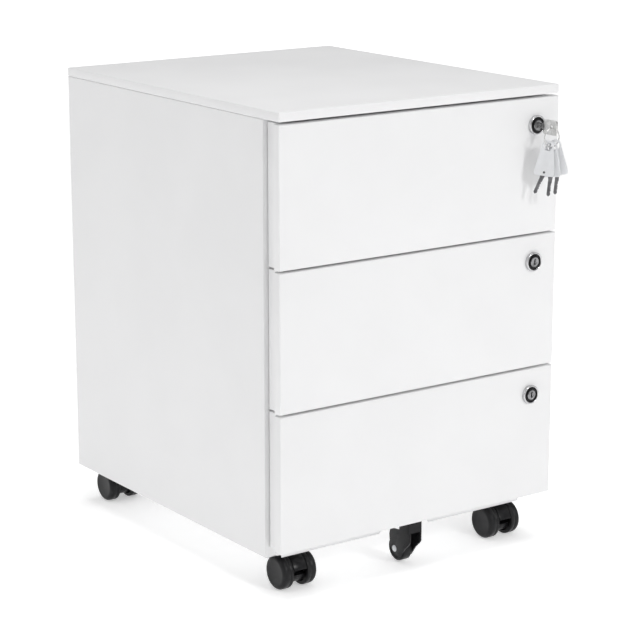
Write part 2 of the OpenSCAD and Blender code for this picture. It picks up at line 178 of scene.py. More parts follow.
# %% Let Python's operators add Math nodes
class Value:
    """A node's output, which Python's operators turn into Math nodes."""

    def __init__(self, finish, socket):
        self.finish = finish
        self.socket = socket

    def maths(self, operation, a, b):
        return self.finish.node("ShaderNodeMath", {"operation": operation}, {0: a, 1: b})

    def __add__(self, other):
        return self.maths("ADD", self, other)

    def __radd__(self, other):
        return self.maths("ADD", other, self)

    def __sub__(self, other):
        return self.maths("SUBTRACT", self, other)

    def __rsub__(self, other):
        return self.maths("SUBTRACT", other, self)

    def __mul__(self, other):
        return self.maths("MULTIPLY", self, other)

    def __rmul__(self, other):
        return self.maths("MULTIPLY", other, self)


print("operators ready")

# %% The finish builder
MIX_A, MIX_B, MIX_RESULT = 6, 7, 2  # a Mix node's sockets for colours


class Finish:
    """One material: a Principled shader and the nodes that feed it."""

    def __init__(self, name, **uniform):
        self.material = bpy.data.materials.new(name)
        self.material.use_nodes = True
        self.tree = self.material.node_tree
        self.shader = self.tree.nodes["Principled BSDF"]
        for socket, value in uniform.items():
            self.shader.inputs[socket.replace("_", " ")].default_value = value

    def node(self, kind, settings=None, inputs=None, output=0):
        """Adds a node: its settings first, then the values or links of its sockets."""
        made = self.tree.nodes.new(kind)
        for name, value in (settings or {}).items():
            setattr(made, name, value)
        for name, value in (inputs or {}).items():
            if isinstance(value, Value):
                self.tree.links.new(value.socket, made.inputs[name])
            else:
                made.inputs[name].default_value = value
        return Value(self, made.outputs[output])

    def place(self, stretch=(1, 1, 1)):
        """Object coordinates, stretched along the axes."""
        here = self.node("ShaderNodeTexCoord", output="Object")
        return self.node("ShaderNodeMapping", {}, {"Vector": here, "Scale": stretch})

    def noise(self, size, detail, stretch=(1, 1, 1)):
        """Noise with blotches of about this size, in metres; its mean is one half."""
        return self.node("ShaderNodeTexNoise", {}, {
            "Vector": self.place(stretch), "Scale": 1 / size, "Detail": detail})

    def mask(self, value, low, high):
        """0 below low, 1 above high."""
        return self.node("ShaderNodeMapRange", {"interpolation_type": "SMOOTHSTEP"},
                         {"Value": value, "From Min": low, "From Max": high})

    def blend(self, share, a, b):
        """A colour between a and b; a plain one gets its alpha."""
        a, b = [(*colour, 1) if isinstance(colour, tuple) else colour for colour in (a, b)]
        return self.node("ShaderNodeMix", {"data_type": "RGBA"},
                         {"Factor": share, MIX_A: a, MIX_B: b}, output=MIX_RESULT)

    def feed(self, socket, value):
        self.tree.links.new(value.socket, self.shader.inputs[socket])

    def relief(self, height, depth, strength):
        """Turns a height from 0 to 1 into bumps this deep, in metres."""
        self.feed("Normal", self.node("ShaderNodeBump", {}, {
            "Height": height, "Distance": depth, "Strength": strength}))


print("finish builder ready")

# %% [markdown]
# ## Camera, floor and light
# A white surround and a glowing pale floor light the white cabinet evenly, as a light tent
# does. A small soft lamp in front makes the front the brightest face and lets the keys
# throw a shadow on it. Two broad lamps lift the side and the top, and one lights only the
# floor behind, so that it stays as pale as the floor in front.

# %% Camera
AZIMUTH, PITCH = math.radians(-35.32), math.radians(13.94)
CAMERA_PLACE, LENS, SENSOR = (-1.4737, -2.1069, 0.8905), 122.8, 36
camera = bpy.data.objects.new("camera", bpy.data.cameras.new("camera"))
bpy.context.scene.collection.objects.link(camera)
bpy.context.scene.camera = camera
camera.data.lens, camera.data.sensor_width = LENS, SENSOR
camera.data.clip_start, camera.data.clip_end = 0.05, 60
camera.location = CAMERA_PLACE
back = Vector((math.sin(AZIMUTH) * math.cos(PITCH), -math.cos(AZIMUTH) * math.cos(PITCH),
               math.sin(PITCH)))
camera.rotation_euler = back.to_track_quat("Z", "Y").to_euler()
print("camera", CAMERA_PLACE, "lens", LENS, "mm")

# %% Floor
FLOOR_SIZE = 30
FLOOR_DROP = 0.2 * MM
floor = add("floor", bpy.ops.mesh.primitive_plane_add, size=FLOOR_SIZE, location=(0, 0, -FLOOR_DROP))
pale = Finish("floor_paint", Base_Color=(0.9, 0.9, 0.9, 1), Roughness=0.9,
              Specular_IOR_Level=0.1, Emission_Color=(1, 1, 1, 1), Emission_Strength=0.40)
floor.data.materials.append(pale.material)
print("floor", FLOOR_SIZE, "m wide")

# %% Light
world = bpy.data.worlds.new("surround")
bpy.context.scene.world = world
world.use_nodes = True
world.node_tree.nodes["Background"].inputs["Color"].default_value = (1, 1, 1, 1)
world.node_tree.nodes["Background"].inputs["Strength"].default_value = 0.42
bpy.context.scene.view_settings.view_transform = "Standard"


def add_lamp(name, place, aim, size, power):
    """A square soft lamp that shines from its place at the aim."""
    lamp = bpy.data.objects.new(name, bpy.data.lights.new(name, "AREA"))
    bpy.context.scene.collection.objects.link(lamp)
    lamp.data.size, lamp.data.energy = size, power
    lamp.location = place
    way = Vector(place) - Vector(aim)
    lamp.rotation_euler = way.to_track_quat("Z", "Y").to_euler()
    return lamp


add_lamp("key_lamp", (0.55, -3.0, 1.75), (0, -0.2, 0.35), 0.5, 28)
add_lamp("side_lamp", (-3.0, 0.25, 1.5), (0, 0.25, 0.3), 1.6, 13)
add_lamp("top_lamp", (0, 0.1, 3.4), (0, 0.1, 0), 2.2, 46)
back_lamp = add_lamp("back_lamp", (3.2, 4.6, 3.6), (3.2, 4.6, 0), 2.5, 30)
back_lamp.data.spread = math.radians(90)
print("four lamps and a white surround")

# %% [markdown]
# ## Powder coat
# The sheet is powder coated: plastic powder melted on, which leaves a fine orange peel
# and a dull sheen. A plain white would do from afar, but the peel breaks up the gloss as
# the real coat does. Object coordinates are in metres, so each pattern has its real scale.

# %% Powder coat
FINISHES = {}


def powder_coat(name, light, dark, roughness):
    """White coat with orange peel, faint unevenness and a few specks of dust."""
    coat = Finish(name, Specular_IOR_Level=0.45)
    peel = coat.noise(1.7 * MM, detail=1.5)
    drift = coat.noise(90 * MM, detail=2)
    speck = coat.mask(coat.noise(0.9 * MM, detail=0), 0.76, 0.8)
    tone = coat.blend(coat.mask(drift, 0.3, 0.7), dark, light)
    coat.feed("Base Color", coat.blend(speck * 0.06, tone, (0.45, 0.44, 0.42)))
    coat.feed("Roughness", roughness + 0.1 * (drift - 0.5) + 0.06 * (peel - 0.5))
    coat.relief(peel + 6 * drift, 0.02 * MM, 0.5)
    FINISHES[name] = coat.material


powder_coat("white_enamel", (0.83, 0.83, 0.835), (0.815, 0.815, 0.82), 0.42)
powder_coat("inner_enamel", (0.77, 0.77, 0.775), (0.75, 0.75, 0.755), 0.5)
print("coats:", ", ".join(FINISHES))

# %% [markdown]
# ## Plated metal
# The slides and screws are zinc plated steel, and the locks and the key are nickel
# plated. Rolling and stamping leave fine lines along the metal, and the plating clouds
# a little. So noise that is stretched one way and a softer cloud share the colour and the
# roughness between a light and a dark value; an even metal would look like a mirror.

# %% Plated metal
def plated(name, light, dark, roughness, streak=(1, 1, 1)):
    """Plated metal: fine drawn streaks over cloudy patches."""
    metal = Finish(name, Metallic=1.0)
    lines = metal.noise(0.5 * MM, detail=3, stretch=streak)
    cloud = metal.noise(7 * MM, detail=3)
    share = metal.mask(0.6 * cloud + 0.4 * lines, 0.35, 0.65)
    metal.feed("Base Color", metal.blend(share, dark, light))
    metal.feed("Roughness", roughness + 0.18 * (cloud - 0.5) + 0.1 * (lines - 0.5))
    metal.relief(lines, 0.01 * MM, 0.5)
    FINISHES[name] = metal.material


ALONG_Y, ALONG_Z = (1, 0.05, 1), (1, 1, 0.1)
plated("zinc_steel", (0.60, 0.61, 0.63), (0.53, 0.54, 0.56), 0.34, ALONG_Y)
plated("screw_steel", (0.22, 0.22, 0.225), (0.10, 0.10, 0.105), 0.3)
plated("lock_chrome", (0.66, 0.66, 0.67), (0.5, 0.5, 0.51), 0.17)
plated("lock_core", (0.34, 0.34, 0.35), (0.16, 0.16, 0.165), 0.24)
plated("key_nickel", (0.74, 0.74, 0.73), (0.52, 0.52, 0.515), 0.26, ALONG_Z)
print("metals added, finishes:", len(FINISHES))

# %% [markdown]
# ## Moulded plastics
# The casters are black nylon, whose mould was spark eroded: a fine grain and slow flow
# marks, which only show in the gloss. The spare keys' heads are half clear. Some light
# goes through them, so they get a little transmission instead of a paler paint.

# %% Moulded plastics
def moulded(name, light, dark, roughness, grain):
    """Black moulding with spark-eroded grain and flow marks."""
    plastic = Finish(name, Specular_IOR_Level=0.2)
    fine = plastic.noise(grain, detail=2)
    flow = plastic.noise(12 * MM, detail=3)
    plastic.feed("Base Color", plastic.blend(plastic.mask(flow, 0.3, 0.75), dark, light))
    plastic.feed("Roughness", roughness + 0.12 * (flow - 0.5) + 0.08 * (fine - 0.5))
    plastic.relief(fine, 0.02 * MM, 0.6)
    FINISHES[name] = plastic.material


def key_head_plastic():
    """Pale grey, half-clear plastic with hairline scratches."""
    plastic = Finish("key_plastic", Transmission_Weight=0.3, IOR=1.46)
    cloud = plastic.noise(5 * MM, detail=2)
    hair = plastic.noise(0.35 * MM, detail=2, stretch=(1, 1, 0.12))
    plastic.feed("Base Color", plastic.blend(cloud, (0.87, 0.88, 0.90), (0.92, 0.93, 0.945)))
    plastic.feed("Roughness", 0.32 + 0.1 * (hair - 0.5) + 0.1 * (cloud - 0.5))
    plastic.relief(hair, 0.004 * MM, 0.4)
    FINISHES["key_plastic"] = plastic.material


moulded("caster_plastic", (0.014, 0.014, 0.015), (0.007, 0.007, 0.008), 0.3, 0.45 * MM)
moulded("wheel_tread", (0.016, 0.016, 0.017), (0.009, 0.009, 0.010), 0.34, 0.6 * MM)
key_head_plastic()
print("finishes:", ", ".join(FINISHES))

# %% [markdown]
# ## Carried-over CAD nodes
# Every node first takes the finish that the record names for it. Later cells put a
# better shaped piece in its place, and a node that none replaces is still dressed.

# %% Finish every CAD node
for part in frame["record"]["subparts"]:
    node = frame["nodes"][part["node"]]
    node.data.materials.clear()
    node.data.materials.append(FINISHES[part["material_slot"]])

# %% [markdown]
# ## Top cover
# The real top is one sheet: its edges are folded down into a rim, and the rim's lower
# edge is folded in again. It could be a folded plane with thickness. A block opened from
# below is simpler here, because the rim's inner face is hidden and only its lip shows.

# %% Model the top cover
SHEET = 1.0 * MM
RIM_LIP = 15 * MM
low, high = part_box("top_panel")
size = high - low


def on_rim(corner):
    x, y, z = corner.co
    return near(x, low.x) or near(x, high.x) or near(y, low.y) or near(y, high.y)


def add_block(name, low, high):
    """A box between two corners."""
    low, high = Vector(low), Vector(high)
    return add(name, bpy.ops.mesh.primitive_cube_add, high - low, size=1, location=(low + high) / 2)


def smooth(piece, angle=35):
    pick(piece)
    bpy.ops.object.shade_smooth_by_angle(angle=math.radians(angle))


top_cover = add_block("top_cover", low, high)
start_edit(top_cover)
choose(top_cover, "faces", lambda f: lies(f, Z, low.z))
bpy.ops.mesh.inset(thickness=RIM_LIP)
push(z=SHEET)
push()
bpy.ops.transform.resize(value=((size.x - 2 * SHEET) / (size.x - 2 * RIM_LIP),
                                (size.y - 2 * SHEET) / (size.y - 2 * RIM_LIP), 1))
push(z=size.z - 2 * SHEET)
choose(top_cover, "edges", lambda e: all(on_rim(corner) for corner in e.verts))
bevel_chosen(1.3 * MM, 4)
end_edit()
smooth(top_cover, 30)
stand_in(top_cover, "top_panel")
print("top cover, mm:", [round(v / MM, 1) for v in size])

# %% [markdown]
# ## Side sheets
# Each side is one sheet with four folded edges. The drawers hide most of the front
# flange, but its outer fold is the bright line behind the fronts, so the fold's radius
# matters. A plane's edges are pulled inwards, the folds are rounded, and the sheet then
# gets its thickness, as a press brake would make it.

# %% Give a folded sheet its thickness
def face_outwards(piece, axis, place, side):
    """Makes all faces agree, with those in this plane facing the given side."""
    choose_all()
    bpy.ops.mesh.normals_make_consistent(inside=False)
    choose(piece, "faces", lambda f: lies(f, axis, place))
    mesh = bmesh.from_edit_mesh(piece.data)
    if sum(face.normal[axis] for face in mesh.faces if face.select) * side < 0:
        choose_all()
        bpy.ops.mesh.flip_normals()


def add_modifier(piece, kind, **settings):
    """Adds a modifier and applies it, so that the mesh holds the finished shape."""
    pick(piece)
    made = piece.modifiers.new(kind.lower(), kind)
    for name, value in settings.items():
        setattr(made, name, value)
    bpy.ops.object.modifier_apply(modifier=made.name)


def thicken(piece):
    add_modifier(piece, "SOLIDIFY", thickness=SHEET, offset=-1, use_even_offset=True)


print("sheet thickness, mm:", SHEET / MM)

# %% Model both side sheets
FRONT_FLANGE, EDGE_FLANGE = 22 * MM, 15 * MM
FOLD_R = 1.5 * MM


def side_sheet(name, node, side):
    low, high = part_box(node)
    outer = high.x if side > 0 else low.x
    centre = Vector((outer, (low.y + high.y) / 2, (low.z + high.z) / 2))
    sheet = add(name, bpy.ops.mesh.primitive_plane_add, (high.z - low.z, high.y - low.y, 1),
                size=1, location=centre, rotation=(0, side * math.pi / 2, 0))
    start_edit(sheet)
    for axis, place, width in ((Y, low.y, FRONT_FLANGE), (Y, high.y, EDGE_FLANGE),
                               (Z, low.z, EDGE_FLANGE), (Z, high.z, EDGE_FLANGE)):
        choose(sheet, "edges", lambda e: lies(e, axis, place) and lies(e, X, outer))
        fold_out(x=-side * width)
    choose(sheet, "edges", lambda e: lies(e, X, outer))
    bevel_chosen(FOLD_R, 5)
    face_outwards(sheet, X, outer, side)
    end_edit()
    thicken(sheet)
    smooth(sheet, 30)
    stand_in(sheet, node)


side_sheet("left_side_sheet", "left_side_panel", -1)
side_sheet("right_side_sheet", "right_side_panel", 1)
print("two side sheets, folds", FOLD_R / MM, "mm")

# %% [markdown]
# ## Drawer fronts
# A front is a shallow pan of sheet: a flat face, returns on all four sides, and a step in
# each side return for the fingers. Its soft bend along every edge of the face is what
# tells sheet steel from board, and catches a thin line of light. The drawers are all
# alike, so what belongs to one is made once, for the top drawer, and copied down.

# %% Copy a piece to every drawer
def put(piece, place, turn=(0, 0, 0)):
    """Turns a piece about the origin, and moves it to its place for good."""
    piece.location = place
    piece.rotation_euler = turn
    pick(piece)
    fix_place()


def twin_of(piece):
    """A copy with a mesh of its own."""
    twin = piece.copy()
    twin.data = piece.data.copy()
    bpy.context.scene.collection.objects.link(twin)
    return twin


def for_each_drawer(piece, name, node, **settings):
    """Copies a piece made for drawer 1 to all three, as far down as the CAD nodes lie."""
    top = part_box(node.format(1))[0]
    twins = [piece] + [twin_of(piece) for n in DRAWERS[1:]]
    for n, twin in zip(DRAWERS, twins):
        twin.name = name.format(n)
        put(twin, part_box(node.format(n))[0] - top)
        stand_in(twin, node.format(n), **settings)


print("drawers:", DRAWERS)

# %% Drill along an axis
RUNNING_GAP = 0.05 * MM
BARREL_R = 9 * MM
low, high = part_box("lock_1_housing")
# The lock's axis in the plane of the top drawer's face.
LOCK = Vector(((low.x + high.x) / 2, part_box("drawer_1_front")[0].y, (low.z + high.z) / 2))


def add_rod(name, centre, axis, r, length, steps=48):
    """A solid cylinder along X, Y or Z."""
    turn = {X: (0, math.pi / 2, 0), Y: (math.pi / 2, 0, 0), Z: (0, 0, 0)}[axis]
    return add(name, bpy.ops.mesh.primitive_cylinder_add, vertices=steps, radius=r, depth=length,
               location=centre, rotation=turn)


def cut(piece, tool, operation="DIFFERENCE"):
    """Joins or subtracts a second solid, which is used up."""
    add_modifier(piece, "BOOLEAN", object=tool, operation=operation, solver="EXACT")
    bpy.data.objects.remove(tool, do_unlink=True)


print("lock axis, mm:", [round(v / MM, 1) for v in LOCK])

# %% Model one front and copy it
GRIP_START, GRIP_END, GRIP_STEP = 11 * MM, 13 * MM, 6 * MM
GRIP_R = 0.9 * MM
CORNER_R = 0.5 * MM


def drawer_front():
    low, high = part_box("drawer_1_front")
    grip_folds = (low.y + GRIP_START, low.y + GRIP_END)
    front = add_block("front", low, high)
    start_edit(front)
    choose(front, "faces", lambda f: lies(f, Y, high.y))
    bpy.ops.mesh.delete(type="FACE")
    for y in grip_folds:
        choose_all()
        bpy.ops.mesh.bisect(plane_co=(0, y, 0), plane_no=(0, 1, 0))
    for side in (-1, 1):
        choose(front, "verts", lambda v: side * v.co.x > 0 and v.co.y > low.y + GRIP_END - 0.5 * MM)
        bpy.ops.transform.translate(value=(-side * GRIP_STEP, 0, 0))
    choose(front, "edges", lambda e: runs(e, Z) and any(lies(e, Y, y) for y in grip_folds))
    bevel_chosen(GRIP_R)
    choose(front, "edges", lambda e: lies(e, Y, low.y))
    bevel_chosen(FOLD_R, 5)
    choose(front, "edges", lambda e: runs(e, Y) and abs(e.verts[0].co.x) > high.x - 8 * MM)
    bevel_chosen(CORNER_R, 2)
    face_outwards(front, Y, low.y, -1)
    end_edit()
    thicken(front)
    cut(front, add_rod("drill", LOCK, Y, BARREL_R + RUNNING_GAP, 10 * MM))
    smooth(front, 30)
    return front


for_each_drawer(drawer_front(), "drawer_{}_front_pan", "drawer_{}_front")
print("three fronts")

# %% [markdown]
# ## Inner sheet metal
# The back, base, rail, uprights and liners are plain folded sheet that only show when a
# drawer is open or from behind. Their CAD shape is right, so each is a copy with its
# edges broken, as a tumbled and coated edge is. A CAD mesh is loose triangles, so the
# copy is merged, and its flat areas become single faces, before anything is rounded.

# %% Break the edges of the inner sheets
def merge_corners():
    choose_all()
    bpy.ops.mesh.remove_doubles(threshold=0.002 * MM)


def copy_of(name, node):
    """A clean copy of a CAD node's mesh."""
    piece = bpy.data.objects.new(name, frame["nodes"][node].data.copy())
    bpy.context.scene.collection.objects.link(piece)
    start_edit(piece)
    bpy.ops.mesh.customdata_custom_splitnormals_clear()
    merge_corners()
    bpy.ops.mesh.dissolve_limited(angle_limit=math.radians(0.3))
    choose_all()
    bpy.ops.mesh.normals_make_consistent(inside=False)
    end_edit()
    return piece


def soften(piece, width, segments=2, angle=35):
    """Rounds every edge sharper than the angle."""
    add_modifier(piece, "BEVEL", width=width, segments=segments, limit_method="ANGLE",
                 angle_limit=math.radians(angle), use_clamp_overlap=True, harden_normals=False)
    smooth(piece)


def softened_copy(name, node, width, **settings):
    piece = copy_of(name, node)
    soften(piece, width, **settings)
    return stand_in(piece, node)


softened_copy("back_sheet", "back_panel", 0.35 * MM)
softened_copy("front_rail", "top_rail", 0.35 * MM)
softened_copy("base_tray", "base_panel", 0.4 * MM)
softened_copy("left_upright_pair", "left_uprights", 0.4 * MM)
softened_copy("right_upright_pair", "right_uprights", 0.4 * MM)
for n in DRAWERS:
    softened_copy(f"drawer_{n}_back_plate", f"drawer_{n}_liner", 0.3 * MM)
print("inner sheets softened")

# %% [markdown]
# ## Drawer tubs
# A tub is a tray folded from one sheet, its upper edges turned in so that no raw edge
# faces the hand. A block without its top, with the upper edges pulled inwards, gives the
# same sheet; rounding comes before thickness so that bends stay concentric.

# %% Model one tub and copy it
TUB_LIP = 4 * MM
TUB_FOLD_R, LIP_FOLD_R = 1.8 * MM, 0.8 * MM


def drawer_tub():
    low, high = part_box("drawer_1_tub")
    tub = add_block("tub", low, high)
    start_edit(tub)
    choose(tub, "faces", lambda f: lies(f, Z, high.z))
    bpy.ops.mesh.delete(type="ONLY_FACE")
    choose(tub, "edges", lambda e: runs(e, Z) or lies(e, Z, low.z))
    bevel_chosen(TUB_FOLD_R, 4)
    for axis, place, move in ((X, low.x, {"x": TUB_LIP}), (X, high.x, {"x": -TUB_LIP}),
                              (Y, high.y, {"y": -TUB_LIP})):
        choose(tub, "edges", lambda e: lies(e, axis, place) and lies(e, Z, high.z))
        fold_out(**move)
    choose(tub, "edges", lambda e: lies(e, Z, high.z) and e.calc_length() > 50 * MM
           and len(e.link_faces) == 2)
    bevel_chosen(LIP_FOLD_R)
    face_outwards(tub, Z, low.z, -1)
    end_edit()
    thicken(tub)
    smooth(tub, 30)
    return tub


for_each_drawer(drawer_tub(), "drawer_{}_tray", "drawer_{}_tub")
print("three tubs")

# %% [markdown]
# ## Slides
# Each slide is three rolled channels that run in each other on hidden balls. The channels
# keep the CAD's shape; they get their rolled edges and the row of punched holes that the
# screws and the assembly line use. One punch goes through the left and right channel.
# Normals weighted by area keep the flat webs flat to the eye round the holes.

# %% Punch the slides and roll their edges
PUNCH_R, PUNCH_START, PUNCH_PITCH, PUNCHES = 2.2 * MM, 28 * MM, 64 * MM, 6


def slide_member(node):
    low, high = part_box(node)
    channel = copy_of("channel", node)
    centre, across = (low + high) / 2, high.x - low.x + 10 * MM
    for i in range(PUNCHES):
        place = (centre.x, low.y + PUNCH_START + i * PUNCH_PITCH, centre.z)
        cut(channel, add_rod("punch", place, X, PUNCH_R, across, 24))
    soften(channel, 0.35 * MM)
    add_modifier(channel, "WEIGHTED_NORMAL", keep_sharp=True, weight=100)
    return channel


for member in ("outer", "middle", "inner"):
    for_each_drawer(slide_member(f"drawer_1_slides_{member}"), f"drawer_{{}}_{member}_members",
                    f"drawer_{{}}_slides_{member}")
print("slides punched and softened")

# %% [markdown]
# ## Locks
# A cam lock's housing is turned from bar and chromed: a domed rim, a sunken annulus inside it,
# and the plug's polished face in the middle with its keyway. A ring of black plastic fills the
# annulus as a painted reflection: it stands for the dark surroundings that the chrome reflects
# there. All three are bodies of revolution, so outlines turned as on a lathe give the true curves.

# %% Turn an outline as on a lathe
def arc(x, y, r, start, end, steps):
    """Points along an arc, as (x, y), with its angles in degrees."""
    turns = [math.radians(start + (end - start) * i / steps) for i in range(steps + 1)]
    return [(x + r * math.cos(t), y + r * math.sin(t)) for t in turns]


def draw(name, points):
    """Draws a line from point to point, and leaves it in edit mode."""
    line = add(name, bpy.ops.mesh.primitive_plane_add, size=MM, location=points[0])
    start_edit(line)
    bpy.ops.mesh.select_mode(type="VERT")
    choose_all()
    bpy.ops.mesh.merge(type="CENTER")
    for here, there in zip(points, points[1:]):
        bpy.ops.mesh.extrude_vertices_move(TRANSFORM_OT_translate={"value": there - here})
    return line


def turned(name, outline, centre, axis, steps=64):
    """Turns an outline of (radius, distance along the axis) points."""
    across = Vector((0, 0, 1)) if axis != Z else Vector((1, 0, 0))
    along = Vector([float(i == axis) for i in range(3)])
    piece = draw(name, [centre + across * r + along * d for r, d in outline])
    choose_all()
    bpy.ops.mesh.spin(steps=steps, angle=2 * math.pi, center=centre, axis=along)
    merge_corners()
    bpy.ops.mesh.normals_make_consistent(inside=False)
    end_edit()
    smooth(piece)
    return piece


def mirrored(outline):
    """The outline's other half, back along the axis."""
    return [(r, -d) for r, d in reversed(outline)]


print("lathe ready")

# %% Turn the lock's housing and its ring of painted dark reflection
HEAD_R, HEAD_PROUD, RIM_R = 11.2 * MM, 4 * MM, 0.95 * MM
PLUG_R, NUT_R, NUT_T = 6 * MM, 13 * MM, 3 * MM
BORE_R = PLUG_R + RUNNING_GAP
SUNK = 2.4 * MM - HEAD_PROUD
THREADS, THREAD_DEPTH = 18, 0.35 * MM


def join(name, *pieces):
    bpy.ops.object.select_all(action="DESELECT")
    for piece in pieces:
        piece.select_set(True)
    bpy.context.view_layer.objects.active = pieces[0]
    bpy.ops.object.join()
    pieces[0].name = name
    return pieces[0]


def lock_housing():
    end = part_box("lock_1_housing")[1].y - LOCK.y
    outline = [(BORE_R, SUNK), (BORE_R, end), (BARREL_R - 0.5 * MM, end), (BARREL_R, end - 0.5 * MM)]
    for i in range(THREADS):
        y = end - (1.5 + i) * MM
        outline += [(BARREL_R, y + 0.3 * MM), (BARREL_R - THREAD_DEPTH, y - 0.2 * MM)]
    outline += [(BARREL_R, 0.6 * MM), (BARREL_R, 0.0), (HEAD_R, 0.0), (HEAD_R, -1.6 * MM)]
    outline += arc(HEAD_R - RIM_R, RIM_R - HEAD_PROUD, RIM_R, 0, -160, 10)
    outline += [(HEAD_R - 2.1 * MM, SUNK), (BORE_R, SUNK)]
    housing = turned("housing", outline, LOCK, Y)
    nut = add_rod("nut", LOCK + Vector((0, SHEET + NUT_T / 2, 0)), Y, NUT_R, NUT_T, 6)
    soften(nut, 0.5 * MM, angle=20)
    cut(nut, add_rod("drill", LOCK, Y, BARREL_R, 30 * MM))
    return join("housing", housing, nut)


# A black ring in the sunken annulus: painted reflection, standing for the dark surroundings that the chrome
# reflects.
def dark_ring():
    inner, outer = BORE_R + RUNNING_GAP, HEAD_R - 2.15 * MM
    outline = [(inner, SUNK), (inner, SUNK - 0.5 * MM), (inner + 0.25 * MM, SUNK - 0.8 * MM),
               (inner + 0.65 * MM, SUNK - 0.8 * MM), (outer - 0.75 * MM, SUNK - 0.25 * MM),
               (outer - 0.05 * MM, SUNK - 0.25 * MM), (outer, SUNK), (inner, SUNK)]
    return turned("ring", outline, LOCK, Y)


for_each_drawer(lock_housing(), "lock_{}_bezel", "lock_{}_housing")
# The black plastic ring paints the chrome's dark reflection into each lock head.
for_each_drawer(dark_ring(), "lock_{}_ring", "lock_{}_housing", slot="caster_plastic", replaces=False)
print("three lock housings")

# %% Turn the plug and soften its cam
TAIL_HALF, TAIL_LEN = 3 * MM, 5 * MM
KEYWAY_HALF_W, KEYWAY_HALF_H, KEYWAY_DEPTH = 1 * MM, 3.45 * MM, 21 * MM


def lock_plug():
    low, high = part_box("lock_1_plug")
    front, end = low.y - LOCK.y, high.y - LOCK.y
    step = end - TAIL_LEN
    outline = [(0.0, front + 0.5 * MM), (2.6 * MM, front + 0.5 * MM), (3.0 * MM, front),
               (PLUG_R - 0.6 * MM, front), (PLUG_R, front + 0.6 * MM), (PLUG_R, step), (0.0, step)]
    plug = turned("plug", outline, LOCK, Y, 48)
    cut(plug, add_block("tail", LOCK + Vector((-TAIL_HALF, step - 0.2 * MM, -TAIL_HALF)),
                        LOCK + Vector((TAIL_HALF, end, TAIL_HALF))), "UNION")
    cut(plug, add_block("keyway", LOCK + Vector((-KEYWAY_HALF_W, front - MM, -KEYWAY_HALF_H)),
                        LOCK + Vector((KEYWAY_HALF_W, front + KEYWAY_DEPTH, KEYWAY_HALF_H))))
    smooth(plug)
    return plug


for_each_drawer(lock_plug(), "lock_{}_core", "lock_{}_plug")
for n in DRAWERS:
    softened_copy(f"lock_{n}_cam_plate", f"lock_{n}_cam", 0.3 * MM)
print("three plugs and cams")

# %% [markdown]
# ## Casters
# Twin-wheel furniture casters: each wheel is a moulded disc with a broad rounded
# shoulder, a flat face and a hollow back with a hub. One is turned about X and copied to
# all eight places. The hood between the wheels is one moulding, so its CAD shape with
# rounded edges is already close to the real one.

# %% Turn one wheel
WHEEL_BORE, HUB_R, HOLLOW_R, HOLLOW_DEPTH = 3.05 * MM, 6.2 * MM, 16.3 * MM, 3.6 * MM
SHOULDER_R, EDGE_R, BREAK, CAP_STEP = 4.6 * MM, 1.2 * MM, 0.4 * MM, 0.15 * MM


def caster_wheel():
    """A wheel about the X axis, with its hollow back in the plane X = 0."""
    low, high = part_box("front_left_wheel_r")
    r, w = (high.z - low.z) / 2, high.x - low.x
    face_r = r - SHOULDER_R
    outline = [(WHEEL_BORE, 0.0), (HUB_R, 0.0), (HUB_R + BREAK, BREAK), (HUB_R + 0.6 * MM, HOLLOW_DEPTH),
               (HOLLOW_R - 0.7 * MM, HOLLOW_DEPTH), (HOLLOW_R - BREAK, BREAK), (HOLLOW_R, 0.0)]
    outline += arc(r - EDGE_R, EDGE_R, EDGE_R, -90, 0, 4)
    outline += [(r, w * 0.34), (r - 0.18 * MM, w * 0.36), (r, w * 0.38)]
    outline += arc(face_r, w - SHOULDER_R, SHOULDER_R, 0, 90, 10)
    outline += [(face_r - 1.2 * MM, w), (face_r - 2 * MM, w - CAP_STEP), (0.0, w - CAP_STEP),
                (0.0, w - 2 * MM), (WHEEL_BORE, w - 2 * MM), (WHEEL_BORE, 0.0)]
    return turned("wheel", outline, Vector(), X, 72)


wheel = caster_wheel()
print("wheel faces:", len(wheel.data.polygons))

# %% Copy the wheels and round the hoods
for corner in ("front_left", "front_right", "rear_left", "rear_right"):
    for key, turn in (("l", math.pi), ("r", 0)):
        low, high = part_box(f"{corner}_wheel_{key}")
        centre = (low + high) / 2
        back_x = low.x if key == "r" else high.x
        roller = twin_of(wheel)
        roller.name = f"{corner}_roller_{key}"
        put(roller, (back_x, centre.y, centre.z), (0, 0, turn))
        stand_in(roller, f"{corner}_wheel_{key}")
    softened_copy(f"{corner}_shroud", f"{corner}_hood", 0.7 * MM, angle=40)
bpy.data.objects.remove(wheel)
softened_copy("caster_plates", "caster_mounts", 0.4 * MM, angle=40)
softened_copy("plate_screws", "caster_screws", 0.35 * MM, angle=40)
print("four casters")

# %% [markdown]
# ## Anti-tip wheel
# A fixed roller that stops the pedestal from falling when a loaded drawer is out. The
# fork is a moulding, the roller is turned, and the axle's heads are domed rivets.

# %% Model the anti-tip roller
TIP_BORE, TIP_HUB_R, TIP_HOLLOW_R, TIP_EDGE_R = 2.55 * MM, 6 * MM, 11.4 * MM, 2 * MM
softened_copy("anti_tip_bracket", "anti_tip_fork", 0.7 * MM, segments=3, angle=30)
low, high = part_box("anti_tip_wheel")
half, r = (high.x - low.x) / 2, (high.z - low.z) / 2
outline = [(TIP_BORE, -half), (TIP_HUB_R, -half), (TIP_HUB_R + BREAK, 0.8 * MM - half),
           (TIP_HOLLOW_R - BREAK, 0.8 * MM - half), (TIP_HOLLOW_R, -half)]
outline += arc(r - TIP_EDGE_R, TIP_EDGE_R - half, TIP_EDGE_R, -90, 0, 5)
outline += mirrored(outline) + outline[:1]
stand_in(turned("anti_tip_roller", outline, (low + high) / 2, X), "anti_tip_wheel")
print("anti-tip roller, mm:", round(2 * r / MM, 1), "across")

